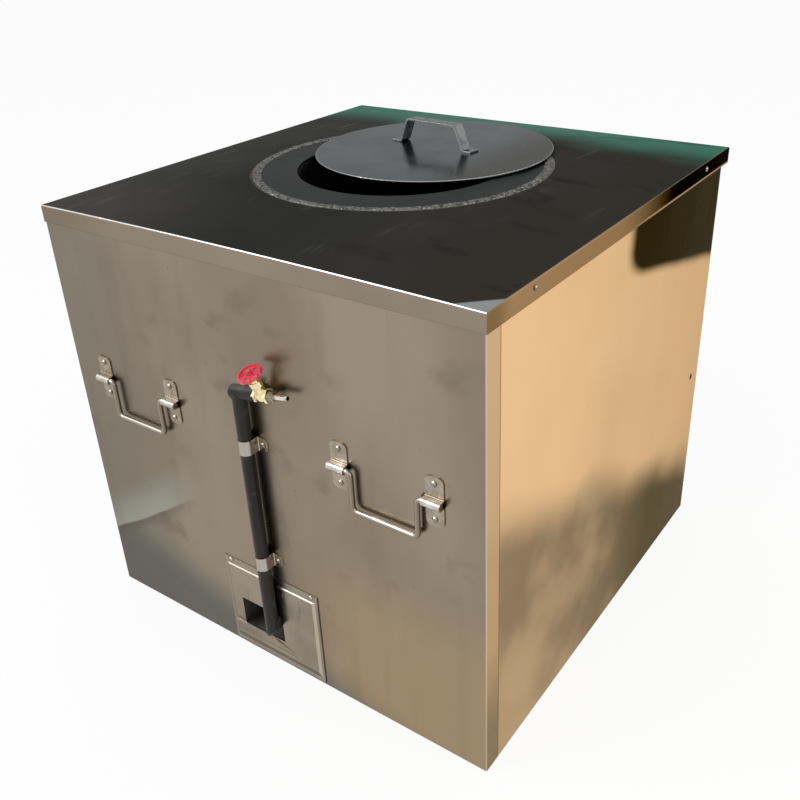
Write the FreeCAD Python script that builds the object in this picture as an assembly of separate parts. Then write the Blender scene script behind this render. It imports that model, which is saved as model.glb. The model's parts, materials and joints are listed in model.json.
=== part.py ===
import FreeCAD, Part
import math
import os

V = FreeCAD.Vector
X = V(1, 0, 0)
Y = V(0, 1, 0)
Z = V(0, 0, 1)

# Overall sizes of the top tray, in millimetres, with the origin on the floor under its middle
tray_width = 800.0
tray_depth = 800.0
tray_edge_height = 733.0
tray_sheet = 1.2
tray_flange = 27.0
front_bow = 3.5

# Casing panels inside the tray's flange, and how far the back stands in from the tray's edge
panel_sheet = 1.2
panel_bend = 2.0
back_inset = 28.0
panel_return = 32.0
base_sheet = 2.0

# Angle iron of the inner frame
angle_leg = 30.0
angle_wall = 3.0

# Round collar plate in the tray, its weld and the clay pot under it
collar_rise = 16.0
collar_proud = 0.4
weld_circle = 234.0
mouth_radius = 170.0
collar_plate = 3.0
weld_width = 14.0
weld_height = 2.0
weld_crest = 6.0
pot_wall = 38.0
pot_foot_radius = 288.0
pot_belly_radius = 306.0
pot_belly_share = 0.42
support_height = 135.0
support_inner_radius = 236.0
support_outer_radius = 302.0

# Lid and its bent strip handle
lid_radius = 200.0
lid_plate_thickness = 3.0
lid_x = -3.0
lid_y = 95.0
lid_clearance = 0.3
lid_edge_round = 0.9
strip_width = 23.0
strip_thickness = 3.0
strip_bend = 5.0
strip_top_length = 100.0
strip_base_length = 131.0
strip_foot_length = 171.0
strip_height = 42.0
strip_shift_x = -7.0
strip_shift_y = 12.0
strip_turn = -6.0

# Gas pipe on the front
pipe_radius = 10.65
pipe_bore = 8.0
pipe_gap = 0.5
riser_x = 1.0
stub_height = 526.0
feed_height = 90.0
feed_reach = 98.0
weld_bead = 1.2
clip_sheet = 1.5
clip_width = 24.0
clip_ear = 18.5
clip_screw = 8.9
clip_bend = 2.0
clip_corner = 11.0
clip_clearance = 0.1
clip_heights = (437.0, 224.0)

# Gas valve, leaning with the stub pipe it is screwed to
valve_tilt = 10.0
valve_roll = 20.0
valve_distance = 50.0
body_left = 14.0
body_right = 13.0
body_hex = 19.0
body_hex_length = 5.5
body_barrel_radius = 8.6
globe_radius = 10.5
neck_radius = 8.5
neck_height = 18.0
socket_depth = 6.0
inlet_socket_radius = 6.5
outlet_socket_radius = 6.0
passage_radius = 3.6
passage_offset = 4.0
seat_radius = 3.0
seat_height = 2.0
chamber_radius = 6.2
disc_radius = 5.0
disc_thickness = 3.0
rest_gap = 0.3
bonnet_hex = 16.0
bonnet_length = 9.0
bonnet_collar_radius = 6.0
bonnet_collar_length = 2.5
packing_hex = 12.0
packing_length = 7.0
stem_radius = 3.0
stem_tip_radius = 2.2
running_gap = 0.05
wheel_radius = 19.0
wheel_rim = 4.5
wheel_height = 6.5
wheel_web = 2.8
wheel_round = 2.0
hub_radius = 6.0
window_radius = 2.9
window_count = 5
scallop_radius = 4.6
scallop_count = 10
scallop_depth = 2.2
wheel_nut_hex = 8.0
wheel_nut_height = 3.2
stem_tip_proud = 0.8
nozzle_hex = 15.0
nozzle_hex_length = 10.0
nozzle_radius = 4.6
nozzle_bore = 2.8
nozzle_length = 24.0
nozzle_chamfer = 0.8

# Burner cover on the front, its opening and the sheet tunnel behind it
cover_sheet = 1.2
cover_left = -104.0
cover_right = 96.0
cover_bottom = 4.0
cover_top = 184.0
cover_raise = 3.0
pan_left = -101.0
pan_right = 94.0
pan_bottom = 6.0
pan_top = 171.0
raised_left = -96.0
raised_right = 84.0
raised_bottom = 22.0
raised_top = 168.0
hole_left = -75.0
hole_right = 14.0
hole_bottom = 51.0
hole_top = 105.5
sill_drop = 21.0
sill_lean = 4.0
sill_taper = 70.0
cover_rivet_z = 178.0
cover_rivet_inset = 14.0
tunnel_sheet = 1.2
tunnel_left = -76.0
tunnel_right = 34.0
tunnel_floor = 49.5
tunnel_roof = 117.0
tunnel_overhang = 14.0

# Burner under the pot
jet_hex = 17.0
jet_hex_length = 9.0
jet_tip_radius = 5.0
jet_tip_length = 14.0
jet_orifice = 0.8
bell_radius = 22.0
bell_length = 16.0
bell_overlap = 3.0
mixer_radius = 17.0
mixer_wall = 3.0
head_radius = 78.0
head_top_radius = 60.0
head_bottom = 70.0
head_shoulder = 106.0
head_top = 118.0
head_wall = 5.0
port_radius = 2.6
port_count = 14
stand_rod_radius = 6.0
stand_circle = 58.0
stand_turn = 30.0
deflector_radius = 122.0
deflector_height = 168.0
deflector_dish = 14.0
deflector_sheet = 4.0
deflector_eye = 6.0
deflector_leg_circle = 104.0
deflector_leg_radius = 6.0
deflector_leg_turn = 90.0

# Drop handles, two on the front and two on the back
handle_inset = 153.8
handle_height = 453.0
handle_standoff = 8.0
bail_radius = 4.0
bail_half_span = 54.5
bail_drop = 62.0
bail_bend = 8.0
bail_half_end = 92.0
saddle_start = 63.5
saddle_width = 29.0
saddle_sheet = 2.0
saddle_gap = 0.3
saddle_bend = 2.0
saddle_ear = 38.0
saddle_rivet = 27.5
saddle_corner = 9.0

# Rivets and screws
rivet_head_radius = 4.4
rivet_head_height = 2.4
rivet_bevel = 1.4
rivet_shank_radius = 2.2
shank_gap = 0.05
tray_screw_y = 288.0
tray_screw_drop = 11.0

# Planes that the pieces share
half_width = tray_width / 2
half_depth = tray_depth / 2
front_y = tray_sheet - half_depth
back_y = half_depth - back_inset
side_x = half_width - tray_sheet
handle_x = side_x - handle_inset
inner_front = front_y + panel_sheet
inner_back = back_y - panel_sheet
inner_side = side_x - panel_sheet
middle_y = (front_y + back_y) / 2
panel_top = tray_edge_height - tray_sheet
flange_bottom = tray_edge_height - tray_flange
collar_radius = weld_circle - weld_width / 2
tray_hole_radius = weld_circle + weld_width / 2
collar_top = tray_edge_height + collar_rise
collar_bottom = collar_top - collar_plate
lid_bottom = collar_top + weld_height + lid_clearance
lid_top = lid_bottom + lid_plate_thickness
raised_y = front_y - cover_raise
pipe_y = raised_y - pipe_gap - pipe_radius
reach = tray_width + tray_depth + tray_edge_height
overshoot = 1.0
touch = 0.01


def box(x0, x1, y0, y1, z0, z1):
    """Block between two corners."""
    return Part.makeBox(x1 - x0, y1 - y0, z1 - z0, V(x0, y0, z0))


def rod(radius, length, start, direction):
    """Round bar from a point along a direction."""
    return Part.makeCylinder(radius, length, start, direction)


def hexagon(across_flats, length, start, direction):
    """Hexagonal bar from a point along a direction."""
    corner = across_flats / math.sqrt(3)
    angles = [math.radians(60 * i) for i in range(7)]
    points = [V(corner * math.cos(a), corner * math.sin(a), 0) for a in angles]
    bar = Part.Face(Part.makePolygon(points)).extrude(Z * length)
    bar.Placement = FreeCAD.Placement(start, FreeCAD.Rotation(Z, direction))
    return bar


def beyond(point, normal):
    """Large block that fills the space past a plane, on the side its normal points to."""
    block = Part.makeBox(2 * reach, 2 * reach, reach, V(-reach, -reach, 0))
    block.Placement = FreeCAD.Placement(point, FreeCAD.Rotation(Z, normal))
    return block


def rounded_wire(points, radii):
    """Open wire through the points, with a tangent arc of its own radius at each inner corner."""
    edges = []
    start = points[0]
    for before, corner, after, radius in zip(points, points[1:], points[2:], radii):
        inward = (before - corner).normalize()
        outward = (after - corner).normalize()
        half = inward.getAngle(outward) / 2
        setback = radius / math.tan(half)
        bisector = (inward + outward).normalize()
        arc_start = corner + inward * setback
        arc_middle = corner + bisector * (radius / math.sin(half) - radius)
        arc_end = corner + outward * setback
        if arc_start.distanceToPoint(start) > touch:
            edges.append(Part.LineSegment(start, arc_start).toShape())
        edges.append(Part.Arc(arc_start, arc_middle, arc_end).toShape())
        start = arc_end
    edges.append(Part.LineSegment(start, points[-1]).toShape())
    return Part.Wire(edges)


def bent_strip(points, radii, thickness, width):
    """Flat strip bent along a path, thickened to the path's left side and extruded across its width."""
    outer_points = []
    for i, point in enumerate(points):
        before = (point - points[max(i - 1, 0)])
        after = (points[min(i + 1, len(points) - 1)] - point)
        directions = [d.normalize() for d in (before, after) if d.Length > 0]
        normals = [width.cross(d).normalize() for d in directions]
        mean = sum(normals, V()).normalize()
        outer_points.append(point + mean * (thickness / mean.dot(normals[0])))
    outer_radii = []
    for before, corner, after, radius in zip(points, points[1:], points[2:], radii):
        turns_left = width.dot((corner - before).cross(after - corner)) > 0
        outer_radii.append(radius - thickness if turns_left else radius + thickness)
    inner = rounded_wire(points, radii)
    outer = rounded_wire(outer_points, outer_radii)
    ends = [Part.LineSegment(points[0], outer_points[0]).toShape(),
            Part.LineSegment(points[-1], outer_points[-1]).toShape()]
    outline = Part.Wire(Part.__sortEdges__(inner.Edges + outer.Edges + ends))
    return Part.Face(outline).extrude(width)


def revolved(points_and_arcs):
    """Solid turned about the Z axis from a closed list of edges in the XZ plane."""
    wire = Part.Wire(Part.__sortEdges__(points_and_arcs))
    return Part.Face(wire).revolve(V(), Z, 360)


def line(x0, z0, x1, z1):
    """Straight edge of a turned profile, from radius and height to radius and height."""
    return Part.LineSegment(V(x0, 0, z0), V(x1, 0, z1)).toShape()


def arc(x0, z0, x1, z1, x2, z2):
    """Round edge of a turned profile through three points."""
    return Part.Arc(V(x0, 0, z0), V(x1, 0, z1), V(x2, 0, z2)).toShape()


def save(name, shape):
    """Writes one node's solid, or its group of separate solids."""
    shape.exportStep("parts/" + name + ".step")


def group(solids):
    """One node of several separate solids."""
    return Part.makeCompound(solids)


def rivet(seat, outward, grip):
    """Pan head on a seat, with a shank that goes in through the sheets it holds."""
    head = rod(rivet_head_radius, rivet_head_height, seat, outward)
    rim = [e for e in head.Edges if abs((e.CenterOfMass - seat).dot(outward) - rivet_head_height) < touch]
    head = head.makeChamfer(rivet_bevel, rim)
    return head.fuse(rod(rivet_shank_radius, grip, seat - outward * grip, outward)).removeSplitter()


def shank_hole(seat, outward, grip):
    """Hole for a rivet's shank."""
    start = seat - outward * (grip + overshoot)
    return rod(rivet_shank_radius + shank_gap, grip + 2 * overshoot, start, outward)


# Four drop handles: a bail of round wire whose ends turn in two riveted saddles each
pivot_y = front_y - handle_standoff
saddle_bore = bail_radius + saddle_gap


def front_bail(centre_x):
    """Round wire bail hanging from its pivot line on the front."""
    path = [V(-bail_half_end, 0, 0), V(-bail_half_span, 0, 0), V(-bail_half_span, 0, -bail_drop),
            V(bail_half_span, 0, -bail_drop), V(bail_half_span, 0, 0), V(bail_half_end, 0, 0)]
    path = [p + V(centre_x, pivot_y, handle_height) for p in path]
    spine = rounded_wire(path, [bail_bend] * 4)
    section = Part.Wire(Part.Circle(path[0], X, bail_radius).toShape())
    return spine.makePipeShell([section], True, False)


def front_saddles(centre_x):
    """Two arched straps with round-ended ears above and below, one over each end of the bail."""
    foot = handle_standoff
    crown = foot + saddle_bore
    profile = [V(0, -saddle_ear, 0), V(0, -saddle_bore, 0), V(0, -saddle_bore, crown),
               V(0, saddle_bore, crown), V(0, saddle_bore, 0), V(0, saddle_ear, 0)]
    points = [V(0, front_y - p.z, handle_height + p.y) for p in profile]
    radii = [saddle_bend + saddle_sheet, saddle_bore, saddle_bore, saddle_bend + saddle_sheet]
    solids = []
    for start in (saddle_start, -saddle_start - saddle_width):
        strap = bent_strip([p + X * (centre_x + start) for p in points], radii, saddle_sheet, X * saddle_width)
        ends = [e for e in strap.Edges if e.Length < saddle_sheet + touch
                and abs(abs(e.CenterOfMass.z - handle_height) - saddle_ear) < touch]
        strap = strap.makeFillet(saddle_corner, ends)
        for seat in saddle_seats(centre_x, start):
            strap = strap.cut(shank_hole(seat, -Y, saddle_sheet + panel_sheet))
        solids.append(strap)
    return solids


def saddle_seats(centre_x, start):
    """Points where one saddle's two rivets sit, on the ears' outer faces."""
    x = centre_x + start + saddle_width / 2
    y = front_y - saddle_sheet
    return [V(x, y, handle_height + s * saddle_rivet) for s in (1, -1)]


def to_back(shape):
    """The same fitting turned round to the back of the casing."""
    turned = shape.copy()
    turned.rotate(V(0, middle_y, 0), Z, 180)
    return turned


handle_seats = []
for side in (-1, 1):
    for start in (saddle_start, -saddle_start - saddle_width):
        handle_seats += saddle_seats(side * handle_x, start)
handle_grip = saddle_sheet + panel_sheet
handle_holes = group([shank_hole(seat, -Y, handle_grip) for seat in handle_seats])
handle_rivets = [rivet(seat, -Y, handle_grip) for seat in handle_seats]

# Base plate inside the casing's lower edge, its corners cut to clear the folds of the casing
fold_relief = panel_bend - panel_sheet
base_plate = box(-inner_side, inner_side, inner_front, inner_back, 0, base_sheet)
base_plate = base_plate.makeChamfer(fold_relief, [e for e in base_plate.Edges if e.BoundBox.ZLength > 0])


# Welded frame of angle iron: four posts, four base rails and four top rails
def angle_bar(corner, along_a, along_b, run):
    """Angle iron with its outer corner on a line, legs along two directions."""
    leg_a = along_a * angle_leg
    leg_b = along_b * angle_leg
    wall_a = along_a * angle_wall
    wall_b = along_b * angle_wall
    outline = [along_a * fold_relief, leg_a, leg_a + wall_b, wall_a + wall_b, leg_b + wall_a, leg_b,
               along_b * fold_relief, along_a * fold_relief]
    return Part.Face(Part.makePolygon([corner + p for p in outline])).extrude(run)


post_height = panel_top - base_sheet
corners = [(sx, sy) for sx in (-1, 1) for sy in (-1, 1)]
corner_posts = []
for sx, sy in corners:
    corner = V(sx * inner_side, inner_front if sy < 0 else inner_back, base_sheet)
    corner_posts.append(angle_bar(corner, X * -sx, Y * -sy, Z * post_height))


def rail_ring(height, upward):
    """Four angle bars between the posts, lying against the panels."""
    span_x = inner_side - angle_leg
    low_y = inner_front + angle_leg
    span_y = inner_back - inner_front - 2 * angle_leg
    return [angle_bar(V(-span_x, inner_front, height), Y, upward, X * (2 * span_x)),
            angle_bar(V(-span_x, inner_back, height), -Y, upward, X * (2 * span_x)),
            angle_bar(V(-inner_side, low_y, height), X, upward, Y * span_y),
            angle_bar(V(inner_side, low_y, height), -X, upward, Y * span_y)]


tray_screw_z = tray_edge_height - tray_screw_drop
screw_seats = [(V(s * half_width, y, tray_screw_z), X * s) for s in (-1, 1)
               for y in (-tray_screw_y, tray_screw_y)]
screw_grip = half_width - inner_side + angle_wall
tray_holes = group([shank_hole(seat, outward, screw_grip) for seat, outward in screw_seats])
tray_screws = [rivet(seat, outward, screw_grip) for seat, outward in screw_seats]
base_rails = rail_ring(base_sheet, Z)
top_rails = [bar.cut(tray_holes) for bar in rail_ring(panel_top, -Z)]

# Casing sheets: front and back are folded round the corners, and the sides close in between them
tunnel_outer = box(tunnel_left - tunnel_sheet, tunnel_right + tunnel_sheet,
                   front_y, tunnel_overhang - support_inner_radius,
                   tunnel_floor - tunnel_sheet, tunnel_roof + tunnel_sheet)


def folded_panel(outer_y, return_y):
    """Sheet across one side of the casing, with its two ends folded round the corners."""
    towards = 1 if return_y > outer_y else -1
    inner_y = outer_y + towards * panel_sheet
    path = [V(-inner_side, return_y, 0), V(-inner_side, inner_y, 0),
            V(inner_side, inner_y, 0), V(inner_side, return_y, 0)]
    if towards < 0:
        path.reverse()
    strip = bent_strip(path, [panel_bend - panel_sheet] * 2, panel_sheet, Z * -panel_top)
    strip.translate(Z * panel_top)
    return strip


clip_radius = pipe_radius + clip_clearance
clip_foot = clip_radius + clip_sheet
clip_seats = [V(riser_x + s * (clip_foot + clip_screw), front_y - clip_sheet, z)
              for z in clip_heights for s in (-1, 1)]
clip_grip = clip_sheet + panel_sheet
clip_holes = group([shank_hole(seat, -Y, clip_grip) for seat in clip_seats])
cover_seats = [V(cover_left + cover_rivet_inset, front_y - cover_sheet, cover_rivet_z),
               V(cover_right - cover_rivet_inset, front_y - cover_sheet, cover_rivet_z)]
cover_grip = cover_sheet + panel_sheet
cover_holes = group([shank_hole(seat, -Y, cover_grip) for seat in cover_seats])

front_panel = folded_panel(front_y, front_y + panel_return)
front_panel = front_panel.cut([tunnel_outer, handle_holes, clip_holes, cover_holes])
back_panel = folded_panel(back_y, back_y - panel_return).cut(to_back(handle_holes))
side_panels = [box(x, x + panel_sheet, front_y + panel_return, back_y - panel_return, 0, panel_top)
               for x in (-side_x, inner_side)]
left_panel, right_panel = [sheet.cut(tray_holes) for sheet in side_panels]

# Top tray: one sheet, crowned towards the collar, with its edges folded down over the casing
crown = (collar_rise - collar_proud) / (1 - (weld_circle / half_width) ** 2)
crown_poles = [[V(x, y, tray_edge_height) for y in (-half_depth, 0, half_depth)]
               for x in (-half_width, 0, half_width)]
crown_poles[1][1].z += 4 * crown
crown_surface = Part.BezierSurface()
crown_surface.increase(2, 2)
for i, row in enumerate(crown_poles):
    for j, pole in enumerate(row):
        crown_surface.setPole(i + 1, j + 1, pole)
crown_surface.increase(2, 4)
crown_surface.setPole(2, 1, crown_surface.getPole(2, 1) + Z * (2 * front_bow))
crown_face = crown_surface.toShape()
under_face = crown_face.translated(Z * -tray_sheet)
tray_span = 2 * tray_flange + crown
tray_block = crown_face.extrude(Z * -tray_span)
tray_block = tray_block.common(box(-half_width, half_width, -half_depth, half_depth, flange_bottom, reach))
tray_hollow = under_face.extrude(Z * -tray_span)
tray_hollow = tray_hollow.common(box(tray_sheet - half_width, half_width - tray_sheet,
                                     tray_sheet - half_depth, half_depth - tray_sheet, 0, reach))
top_tray = tray_block.cut([tray_hollow, rod(tray_hole_radius, reach, V(), Z), tray_holes])

# Collar: a flat ring plate over the pot's mouth, joined to the tray by a proud weld
collar_ring = rod(collar_radius, collar_plate, V(0, 0, collar_bottom), Z)
collar_ring = collar_ring.cut(rod(mouth_radius, reach, V(), Z))
crest_inner = weld_circle - weld_crest / 2
crest_outer = weld_circle + weld_crest / 2
crest_top = collar_top + weld_height
collar_weld = revolved([line(collar_radius, collar_bottom, collar_radius, collar_top),
                        line(collar_radius, collar_top, crest_inner, crest_top),
                        line(crest_inner, crest_top, crest_outer, crest_top),
                        line(crest_outer, crest_top, tray_hole_radius, collar_top),
                        line(tray_hole_radius, collar_top, tray_hole_radius, collar_bottom),
                        line(tray_hole_radius, collar_bottom, collar_radius, collar_bottom)])

# Clay pot on a ring of firebrick, with loose insulation packed round them
pot_height = collar_bottom - support_height
belly_height = support_height + pot_height * pot_belly_share
neck_radius_outer = mouth_radius + pot_wall
foot_inner = pot_foot_radius - pot_wall
belly_inner = pot_belly_radius - pot_wall
pot_outer_arc = arc(pot_foot_radius, support_height, pot_belly_radius, belly_height,
                    neck_radius_outer, collar_bottom)
clay_pot = revolved([pot_outer_arc,
                     line(neck_radius_outer, collar_bottom, mouth_radius, collar_bottom),
                     arc(mouth_radius, collar_bottom, belly_inner, belly_height, foot_inner, support_height),
                     line(foot_inner, support_height, pot_foot_radius, support_height)])
pot_outside = revolved([pot_outer_arc,
                        line(neck_radius_outer, collar_bottom, 0, collar_bottom),
                        line(0, collar_bottom, 0, support_height),
                        line(0, support_height, pot_foot_radius, support_height)])
support_block = rod(support_outer_radius, support_height - base_sheet, V(0, 0, base_sheet), Z)
pot_support_ring = support_block.cut([rod(support_inner_radius, support_height, V(), Z), tunnel_outer])
fill_top = panel_top - angle_leg
fill_rear = inner_back - angle_leg
fill_front = inner_front + angle_leg
fill_side = inner_side - angle_leg
fill_block = box(-fill_side, fill_side, inner_front, inner_back, base_sheet, fill_top)
fill_block = fill_block.fuse(box(-inner_side, inner_side, fill_front, fill_rear, base_sheet, fill_top))
fill_floor = box(-inner_side, inner_side, inner_front, inner_back, base_sheet, base_sheet + angle_leg)
fill_floor = fill_floor.cut(box(-fill_side, fill_side, fill_front, fill_rear, base_sheet, fill_top))
insulation_fill = fill_block.cut([fill_floor, pot_outside, support_block, tunnel_outer]).removeSplitter()

# Burner tunnel: a sheet box from the front panel through the brick ring
tunnel_inner = box(tunnel_left, tunnel_right, front_y - overshoot, tunnel_overhang, tunnel_floor, tunnel_roof)
burner_tunnel = tunnel_outer.cut(tunnel_inner)


# Burner cover: a flanged sheet pressed out in the middle, with a cut opening and a sill bent outwards
def upright_frame(x0, x1, z0, z1, y):
    """Outline of a rectangle that stands at a depth."""
    return Part.makePolygon([V(x0, y, z0), V(x1, y, z0), V(x1, y, z1), V(x0, y, z1), V(x0, y, z0)])


cover_flange = box(cover_left, cover_right, front_y - cover_sheet, front_y, cover_bottom, cover_top)
cover_pan = Part.makeLoft([upright_frame(pan_left, pan_right, pan_bottom, pan_top, front_y),
                           upright_frame(raised_left, raised_right, raised_bottom, raised_top, raised_y)],
                          True, True)
pan_hollow = cover_pan.translated(Y * cover_sheet)
cover_hole = box(hole_left, hole_right, raised_y - overshoot, raised_y + cover_sheet + overshoot,
                 hole_bottom, hole_top)
burner_cover = cover_flange.fuse(cover_pan).cut([pan_hollow, cover_hole, cover_holes])
sill_foot = V(raised_left, raised_y, hole_bottom - sill_drop)
sill_outline = [sill_foot, V(raised_left, raised_y - sill_lean, hole_bottom),
                V(raised_left, raised_y, hole_bottom), sill_foot]
sill = Part.Face(Part.makePolygon(sill_outline)).extrude(X * (hole_right - raised_left + sill_taper / 2))
taper_point = V(hole_right + sill_taper / 2, raised_y, hole_bottom - sill_drop)
sill = sill.cut(beyond(taper_point, V(sill_drop, 0, sill_taper)))
burner_cover = burner_cover.fuse(sill).removeSplitter()
burner_cover_rivets = [rivet(seat, -Y, cover_grip) for seat in cover_seats]

# Gas pipe: riser with a mitred elbow into the feed pipe, and a capped stub across its top
elbow = V(riser_x, pipe_y, feed_height)
stub_axis = V(math.cos(math.radians(valve_tilt)), 0, math.sin(math.radians(valve_tilt)))
stub_joint = V(riser_x, pipe_y, stub_height)
stub_start = stub_joint - stub_axis * pipe_radius
stub_length = pipe_radius + valve_distance - body_left
elbow_start = elbow - Z * (2 * pipe_radius)
riser_span = stub_height - elbow_start.z
feed_start = elbow - Y * (2 * pipe_radius)
feed_end = inner_front + feed_reach
feed_span = feed_end - feed_start.y
riser_outside = rod(pipe_radius, riser_span, elbow_start, Z).cut(beyond(elbow, V(0, 1, -1)))
feed_outside = rod(pipe_radius, feed_span, feed_start, Y).cut(beyond(elbow, V(0, -1, 1)))
riser_bore = rod(pipe_bore, riser_span, elbow_start, Z)
feed_bore = rod(pipe_bore, feed_span, feed_start, Y)
stub_outside = rod(pipe_radius, stub_length, stub_start, stub_axis)
cap = pipe_radius - pipe_bore
gas_riser = riser_outside.cut([riser_bore, stub_outside])
burner_feed_pipe = feed_outside.cut(feed_bore)
stub_spigot = rod(inlet_socket_radius - running_gap, stub_length + socket_depth, stub_start, stub_axis)
stub_bore = rod(inlet_socket_radius - cap, reach, stub_start + stub_axis * cap, stub_axis)
valve_stub_pipe = stub_outside.fuse(stub_spigot).removeSplitter().cut([stub_bore, riser_bore])

# Weld beads round the pipe's two joints
saddle_bead = rod(pipe_radius + weld_bead, riser_span, elbow_start, Z)
saddle_bead = saddle_bead.common(rod(pipe_radius + weld_bead, stub_length, stub_start, stub_axis))
saddle_bead = saddle_bead.cut([stub_outside, rod(pipe_radius, riser_span, elbow_start, Z),
                               beyond(stub_joint, V(-stub_axis.z, 0, stub_axis.x))])
mitre_normal = V(0, 1, -1).normalize()
elbow_outside = riser_outside.fuse(feed_outside)
mitre_bead = rod(pipe_radius + weld_bead, riser_span, elbow_start, Z).cut(beyond(elbow, V(0, 1, -1)))
mitre_bead = mitre_bead.fuse(rod(pipe_radius + weld_bead, feed_span, feed_start, Y)
                             .cut(beyond(elbow, V(0, -1, 1))))
mitre_bead = mitre_bead.cut([elbow_outside, beyond(elbow + mitre_normal * weld_bead, mitre_normal),
                             beyond(elbow - mitre_normal * weld_bead, -mitre_normal)])
pipe_welds = saddle_bead.Solids + mitre_bead.Solids


# Pipe clips: bright straps over the riser, screwed to the front panel
def pipe_clip(height):
    """Arched strap whose round-ended ears lie on the panel."""
    crown_y = front_y - pipe_y + clip_radius
    profile = [V(-clip_foot - clip_ear, 0, 0), V(-clip_radius, 0, 0), V(-clip_radius, crown_y, 0),
               V(clip_radius, crown_y, 0), V(clip_radius, 0, 0), V(clip_foot + clip_ear, 0, 0)]
    points = [V(riser_x + p.x, front_y - p.y, height + clip_width / 2) for p in profile]
    radii = [clip_bend + clip_sheet, clip_radius, clip_radius, clip_bend + clip_sheet]
    strap = bent_strip(points, radii, clip_sheet, Z * -clip_width)
    ends = [e for e in strap.Edges if e.Length < clip_sheet + touch
            and abs(abs(e.CenterOfMass.x - riser_x) - clip_foot - clip_ear) < touch
            and abs(abs(e.CenterOfMass.z - height) - clip_width / 2) < touch]
    return strap.makeFillet(clip_corner, ends).cut(clip_holes)


clips = [pipe_clip(height) for height in clip_heights]
pipe_clip_screws = [rivet(seat, -Y, clip_grip) for seat in clip_seats]

# Gas valve, modelled upright at the origin and then leant over on the stub's axis
valve_place = FreeCAD.Placement(stub_joint + stub_axis * valve_distance,
                                FreeCAD.Rotation(Y, -valve_tilt).multiply(FreeCAD.Rotation(X, valve_roll)))


def in_valve(shape):
    """Moves a valve piece from its own upright frame to its place on the stub."""
    placed = shape.copy()
    placed.Placement = valve_place.multiply(placed.Placement)
    return placed


body_start = X * -body_left
body_length = body_left + body_right
valve_body = rod(body_barrel_radius, body_length, body_start, X)
valve_body = valve_body.fuse([hexagon(body_hex, body_hex_length, body_start, X),
                              hexagon(body_hex, body_hex_length, X * (body_right - body_hex_length), X),
                              Part.makeSphere(globe_radius), rod(neck_radius, neck_height, V(), Z)])
inlet_start = V(-body_left, 0, 0)
outlet_start = V(body_right - socket_depth, 0, 0)
valve_body = valve_body.cut([
    rod(inlet_socket_radius, socket_depth, inlet_start, X),
    rod(outlet_socket_radius, socket_depth, outlet_start, X),
    rod(passage_radius, body_left, V(-body_left, 0, -passage_offset), X),
    rod(passage_radius, body_right, V(0, 0, passage_offset + seat_height), X),
    rod(seat_radius, 2 * passage_offset, V(0, 0, -passage_offset), Z),
    rod(chamber_radius, neck_height, V(0, 0, seat_height), Z)])
stem_bore = rod(stem_radius + running_gap, reach, V(), Z)
bonnet_top = neck_height + bonnet_length + bonnet_collar_length
valve_bonnet = hexagon(bonnet_hex, bonnet_length, Z * neck_height, Z)
valve_bonnet = valve_bonnet.fuse(rod(bonnet_collar_radius, bonnet_length + bonnet_collar_length,
                                     Z * neck_height, Z)).removeSplitter().cut(stem_bore)
packing_top = bonnet_top + packing_length
packing_nut = hexagon(packing_hex, packing_length, Z * bonnet_top, Z).cut(stem_bore)

# Moving valve pieces: the disc lifts off its seat as the spindle and wheel turn
disc_bottom = seat_height + rest_gap
valve_disc = rod(disc_radius, disc_thickness, Z * disc_bottom, Z)
stem_bottom = disc_bottom + disc_thickness + rest_gap
wheel_bottom = packing_top + rest_gap
wheel_top = wheel_bottom + wheel_height
tip_top = wheel_top + wheel_nut_height + stem_tip_proud
valve_stem = rod(stem_radius, wheel_top - stem_bottom, Z * stem_bottom, Z)
valve_stem = valve_stem.fuse(rod(stem_tip_radius, tip_top - stem_bottom, Z * stem_bottom, Z)).removeSplitter()
rim = rod(wheel_radius, wheel_height, Z * wheel_bottom, Z)
rim = rim.makeFillet(wheel_round, [e for e in rim.Edges if e.Length > 4 * wheel_radius])
web_bottom = wheel_bottom + (wheel_height - wheel_web) / 2
rim_inner = wheel_radius - wheel_rim
rim = rim.cut(rod(rim_inner, wheel_height, Z * wheel_bottom, Z))
web = rod(rim_inner, wheel_web, Z * web_bottom, Z)
window_circle = (hub_radius + rim_inner) / 2
scallop_circle = wheel_radius + scallop_radius - scallop_depth
cutters = [stem_bore]
for i in range(window_count):
    turn = math.radians(360 * i / window_count)
    cutters.append(rod(window_radius, reach, V(math.cos(turn), math.sin(turn), 0) * window_circle, Z))
for i in range(scallop_count):
    turn = math.radians(360 * i / scallop_count)
    cutters.append(rod(scallop_radius, reach, V(math.cos(turn), math.sin(turn), 0) * scallop_circle, Z))
handwheel = rim.fuse([web, rod(hub_radius, wheel_height, Z * wheel_bottom, Z)]).removeSplitter().cut(cutters)
handwheel_nut = hexagon(wheel_nut_hex, wheel_nut_height, Z * wheel_top, Z)
handwheel_nut = handwheel_nut.cut(rod(stem_tip_radius + running_gap, reach, V(), Z))

# Hose nozzle screwed into the valve's outlet
nozzle_start = X * body_right
tube_length = nozzle_hex_length + nozzle_length
hose_nozzle = rod(nozzle_radius, tube_length, nozzle_start, X)
tip_edges = [e for e in hose_nozzle.Edges if abs(e.CenterOfMass.x - body_right - tube_length) < touch]
hose_nozzle = hose_nozzle.makeChamfer(nozzle_chamfer, tip_edges)
hose_nozzle = hose_nozzle.fuse([hexagon(nozzle_hex, nozzle_hex_length, nozzle_start, X),
                                rod(outlet_socket_radius - running_gap, socket_depth, outlet_start, X)])
hose_nozzle = hose_nozzle.removeSplitter().cut(rod(nozzle_bore, reach, V(), X))

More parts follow.
